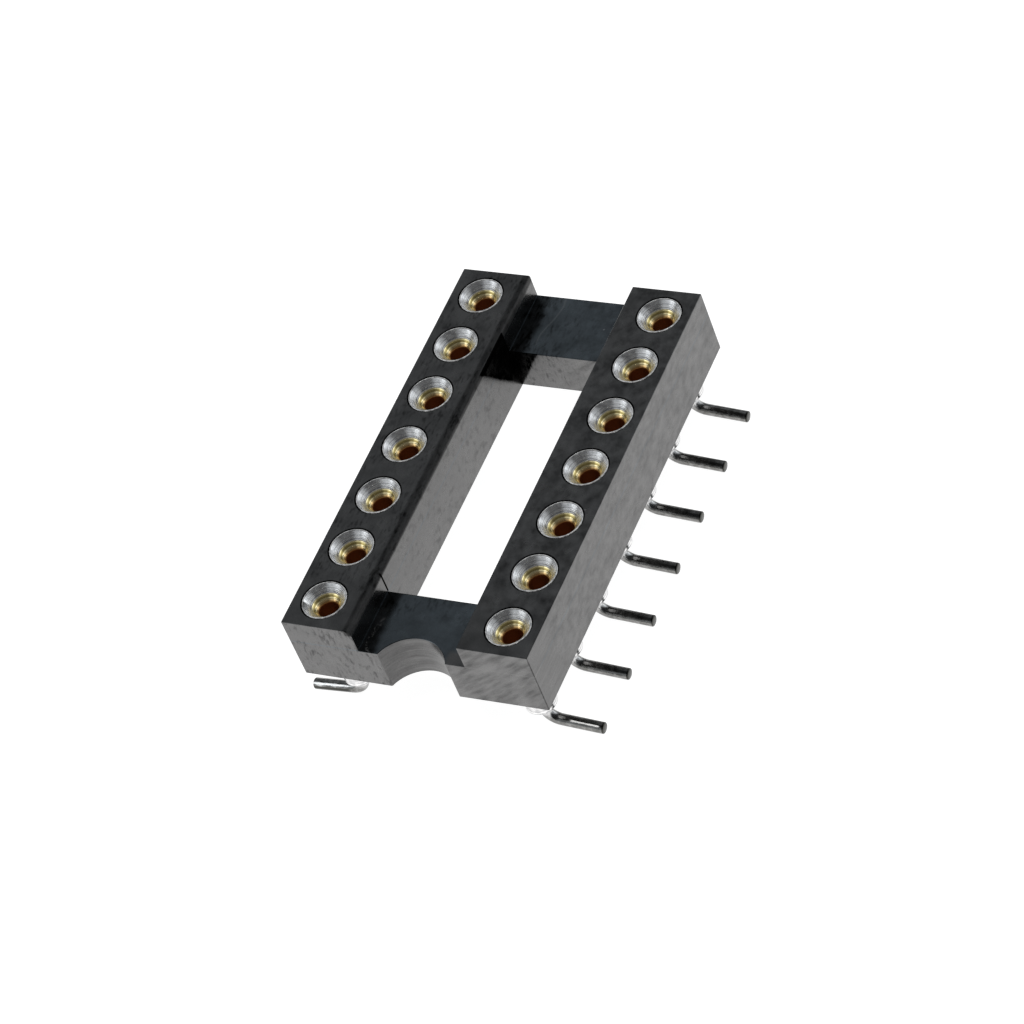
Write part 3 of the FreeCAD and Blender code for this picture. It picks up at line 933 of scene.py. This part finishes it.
def tin_rings(tree, mouth):
    """The lathe's rings, which are weaker below the head."""
    strength = fade(tree, mouth["Depth"], HEAD_DEPTH, 2 * HEAD_DEPTH, 1.0, 0.3)
    return calculate(tree, "MULTIPLY_ADD", calculate(tree, "SUBTRACT", mouth["Height"], 0.5), strength, 0.5)


def tin_rim(tree, mouth, cloud):
    """The pale rim of the head: a painted highlight."""
    outermost = rise(tree, mouth["Radius"], 0.81, 0.835)
    topmost = fall(tree, mouth["Depth"], 0.03, 0.07)
    return multiply(tree, outermost, topmost, fade(tree, cloud, 0.2, 0.8, 0.25, 0.55))


def tin_tone(tree, mouth, rings, cloud, foot_marks_and_shade):
    """The plate's tone: grey and white rings, dull on the bent tail, and the marks on the feet."""
    level = add_up(tree, [(rings, 0.85), (cloud, 0.15)])
    tone = blend(tree, rise(tree, level, 0.4, 0.6), (0.42, 0.42, 0.43, 1), (1.0, 0.99, 0.98, 1))
    dull = rise(tree, mouth["Depth"], SHOULDER_END + 0.15, SHOULDER_END + 0.65)
    dull = multiply(tree, dull, fade(tree, cloud, 0.1, 0.8, 1.0, 0.8))
    tone = blend(tree, dull, tone, (0.15, 0.148, 0.14, 1))
    # painted shade in the dark band on the left foot, and the dark tips
    tone = blend(tree, foot_marks_and_shade["Dark"], tone, (0.05, 0.05, 0.045, 1))
    return blend(tree, foot_marks_and_shade["Bright"], tone, (0.98, 0.97, 0.95, 1))


# Gold plate


def make_gold_material(turning, mottle):
    """Gold plate over a clip: pale on its two rolled rims, olive between them with a narrow band of painted
    shade, and brown in the throat.
    """
    material, tree, output = new_material("gold_plate")
    place = place_from_mouth(tree)
    mouth = use_group(tree, turning, {"Place": place, "Spacing": 0.05})
    cloud = use_mottle(tree, mottle, object_place(tree), (0.15, 0.15, 0.15), 3.0, 1.6)
    inside = rise(tree, mouth["Depth"], THROAT_TOP - 0.04, THROAT_TOP + 0.06)
    bands = add_node(tree, "ShaderNodeValToRGB", {"Fac": mouth["Radius"]})
    paint_bands(bands.color_ramp)
    tone = blend(tree, inside, bands.outputs["Color"], (0.088, 0.02, 0.005, 1))
    stained = blend(tree, fade(tree, cloud, 0.5, 0.9, 0.0, 0.35), tone, (0.05, 0.025, 0.008, 1))
    polish = fade(tree, cloud, 0.2, 0.8, 0.1, 0.2)
    coat(tree, output, {
        "Base Color": stained,
        "Metallic": multiply(tree, bands.outputs["Alpha"], fade(tree, inside, 0.0, 1.0, 1.0, 0.1)),
        "Roughness": calculate(tree, "MULTIPLY_ADD", inside, 0.3, polish),
        "Normal": roll_inwards(tree, place, mouth["Height"], inside)})
    return material


def paint_bands(ramp):
    """Sets a colour ramp to the gold's bands. Its alpha holds how metallic they look."""
    for _ in GOLD_BANDS[2:]:
        ramp.elements.new(0.5)
    for element, (radius, colour, metal) in zip(ramp.elements, GOLD_BANDS):
        element.position = radius
        element.color = (*colour, metal)


def roll_inwards(tree, place, rings, inside):
    """The way that the rolled rims face: towards the mouth's middle and up, unevenly from ring to ring."""
    to_middle = combine(tree, "NORMALIZE", combine(tree, "MULTIPLY", place, (-1, -1, 0)))
    lean = waver(tree, RIM_LEAN, rings, RIM_UNEVENNESS)
    rolled = combine(tree, "NORMALIZE", combine(tree, "ADD", lengthen(tree, to_middle, lean), (0, 0, 1)))
    on_rims = lengthen(tree, rolled, calculate(tree, "SUBTRACT", 1.0, inside))
    in_throat = lengthen(tree, surface_normal(tree), inside)
    return combine(tree, "NORMALIZE", combine(tree, "ADD", on_rims, in_throat))


# Stage


def make_floor():
    """A plain pale floor, white to the eye and in reflections, which keeps the object's shadow."""
    bm = bmesh.new()
    bmesh.ops.create_circle(bm, cap_ends=True, radius=FLOOR_RADIUS, segments=64)
    bmesh.ops.translate(bm, vec=(0, 0, -FLOOR_DROP), verts=bm.verts)
    material, tree, output = new_material("pale_floor")
    light = add_node(tree, "ShaderNodeLightPath").outputs
    seen = strongest(tree, light["Is Camera Ray"], light["Is Glossy Ray"], light["Is Transmission Ray"])
    glow = add_node(tree, "ShaderNodeEmission", {"Color": (1, 1, 1, 1), "Strength": 0.96})
    shade = add_node(tree, "ShaderNodeBsdfDiffuse", {"Color": (0.22, 0.22, 0.22, 1)})
    white = add_node(tree, "ShaderNodeAddShader", {0: glow.outputs[0], 1: shade.outputs[0]})
    plain = add_node(tree, "ShaderNodeBsdfDiffuse", {"Color": (0.8, 0.8, 0.8, 1)})
    mixed = add_node(tree, "ShaderNodeMixShader", {0: seen, 1: plain.outputs[0], 2: white.outputs[0]})
    tree.links.new(mixed.outputs[0], output.inputs["Surface"])
    new_piece("floor", bm, material)


def make_world():
    """A dim studio with a pale horizon and a few soft glows."""
    world = bpy.data.worlds.new("studio")
    bpy.context.scene.world = world
    world.use_nodes = True
    tree = world.node_tree
    tree.nodes.clear()
    towards = add_node(tree, "ShaderNodeTexCoord").outputs["Generated"]
    light = fade(tree, split(tree, towards)["Z"], 0.0, 0.18, 0.7, 0.04)
    for direction, edge, core, strength in SKY_GLOWS:
        cosine = add_node(tree, "ShaderNodeVectorMath", {0: towards, 1: direction}, operation="DOT_PRODUCT")
        glow = fade(tree, cosine.outputs["Value"], edge, core, 0.0, strength)
        light = calculate(tree, "ADD", light, glow)
    sky = add_node(tree, "ShaderNodeBackground", {"Color": (0.95, 1.0, 1.04, 1), "Strength": light})
    output = add_node(tree, "ShaderNodeOutputWorld", {"Surface": sky.outputs["Background"]})
    output.is_active_output = True


def add_softbox():
    """A square soft lamp that faces the middle of the object, and doesn't show in its reflections."""
    lamp = bpy.data.lights.new("softbox", "AREA")
    lamp.energy, lamp.size = SOFTBOX_POWER, SOFTBOX_SIZE * MM
    softbox = bpy.data.objects.new("softbox", lamp)
    softbox.location = Vector(SOFTBOX_PLACE) * MM
    softbox.rotation_mode = "QUATERNION"
    softbox.rotation_quaternion = (-Vector(SOFTBOX_PLACE)).to_track_quat("-Z", "Y")
    softbox.visible_glossy = False
    bpy.context.scene.collection.objects.link(softbox)


def make_camera():
    """The camera at the photograph's viewing angle."""
    lens = bpy.data.cameras.new("camera")
    lens.lens, lens.sensor_width = CAMERA_LENS, CAMERA_SENSOR
    lens.clip_start, lens.clip_end = 0.01, 20.0
    camera = bpy.data.objects.new("camera", lens)
    back = Vector((
        math.sin(CAMERA_AZIMUTH) * math.cos(CAMERA_ELEVATION),
        -math.cos(CAMERA_AZIMUTH) * math.cos(CAMERA_ELEVATION),
        math.sin(CAMERA_ELEVATION),
    ))
    camera.location = (CAMERA_AIM + back * CAMERA_DISTANCE) * MM
    camera.rotation_mode = "QUATERNION"
    camera.rotation_quaternion = (-back).to_track_quat("-Z", "Y") @ Quaternion((0, 0, 1), CAMERA_ROLL)
    bpy.context.scene.collection.objects.link(camera)
    bpy.context.scene.camera = camera


# The object and its studio

mottle_group = make_mottle_group()
turning_group = make_turning_group()
moulding = make_moulding_material(mottle_group, make_marks_group())
tin = make_tin_material(turning_group, mottle_group, make_foot_marks_and_shade_group())
gold = make_gold_material(turning_group, mottle_group)

make_moulded_frame(moulding)
chance = random.Random(TURN_SEED)
for contact in CONTACTS:
    make_sleeve(contact, tin, chance.uniform(0, 2 * math.pi))
    make_clip(contact, gold)

make_floor()
make_world()
add_softbox()
make_camera()
bpy.context.scene.view_settings.view_transform = "Standard"
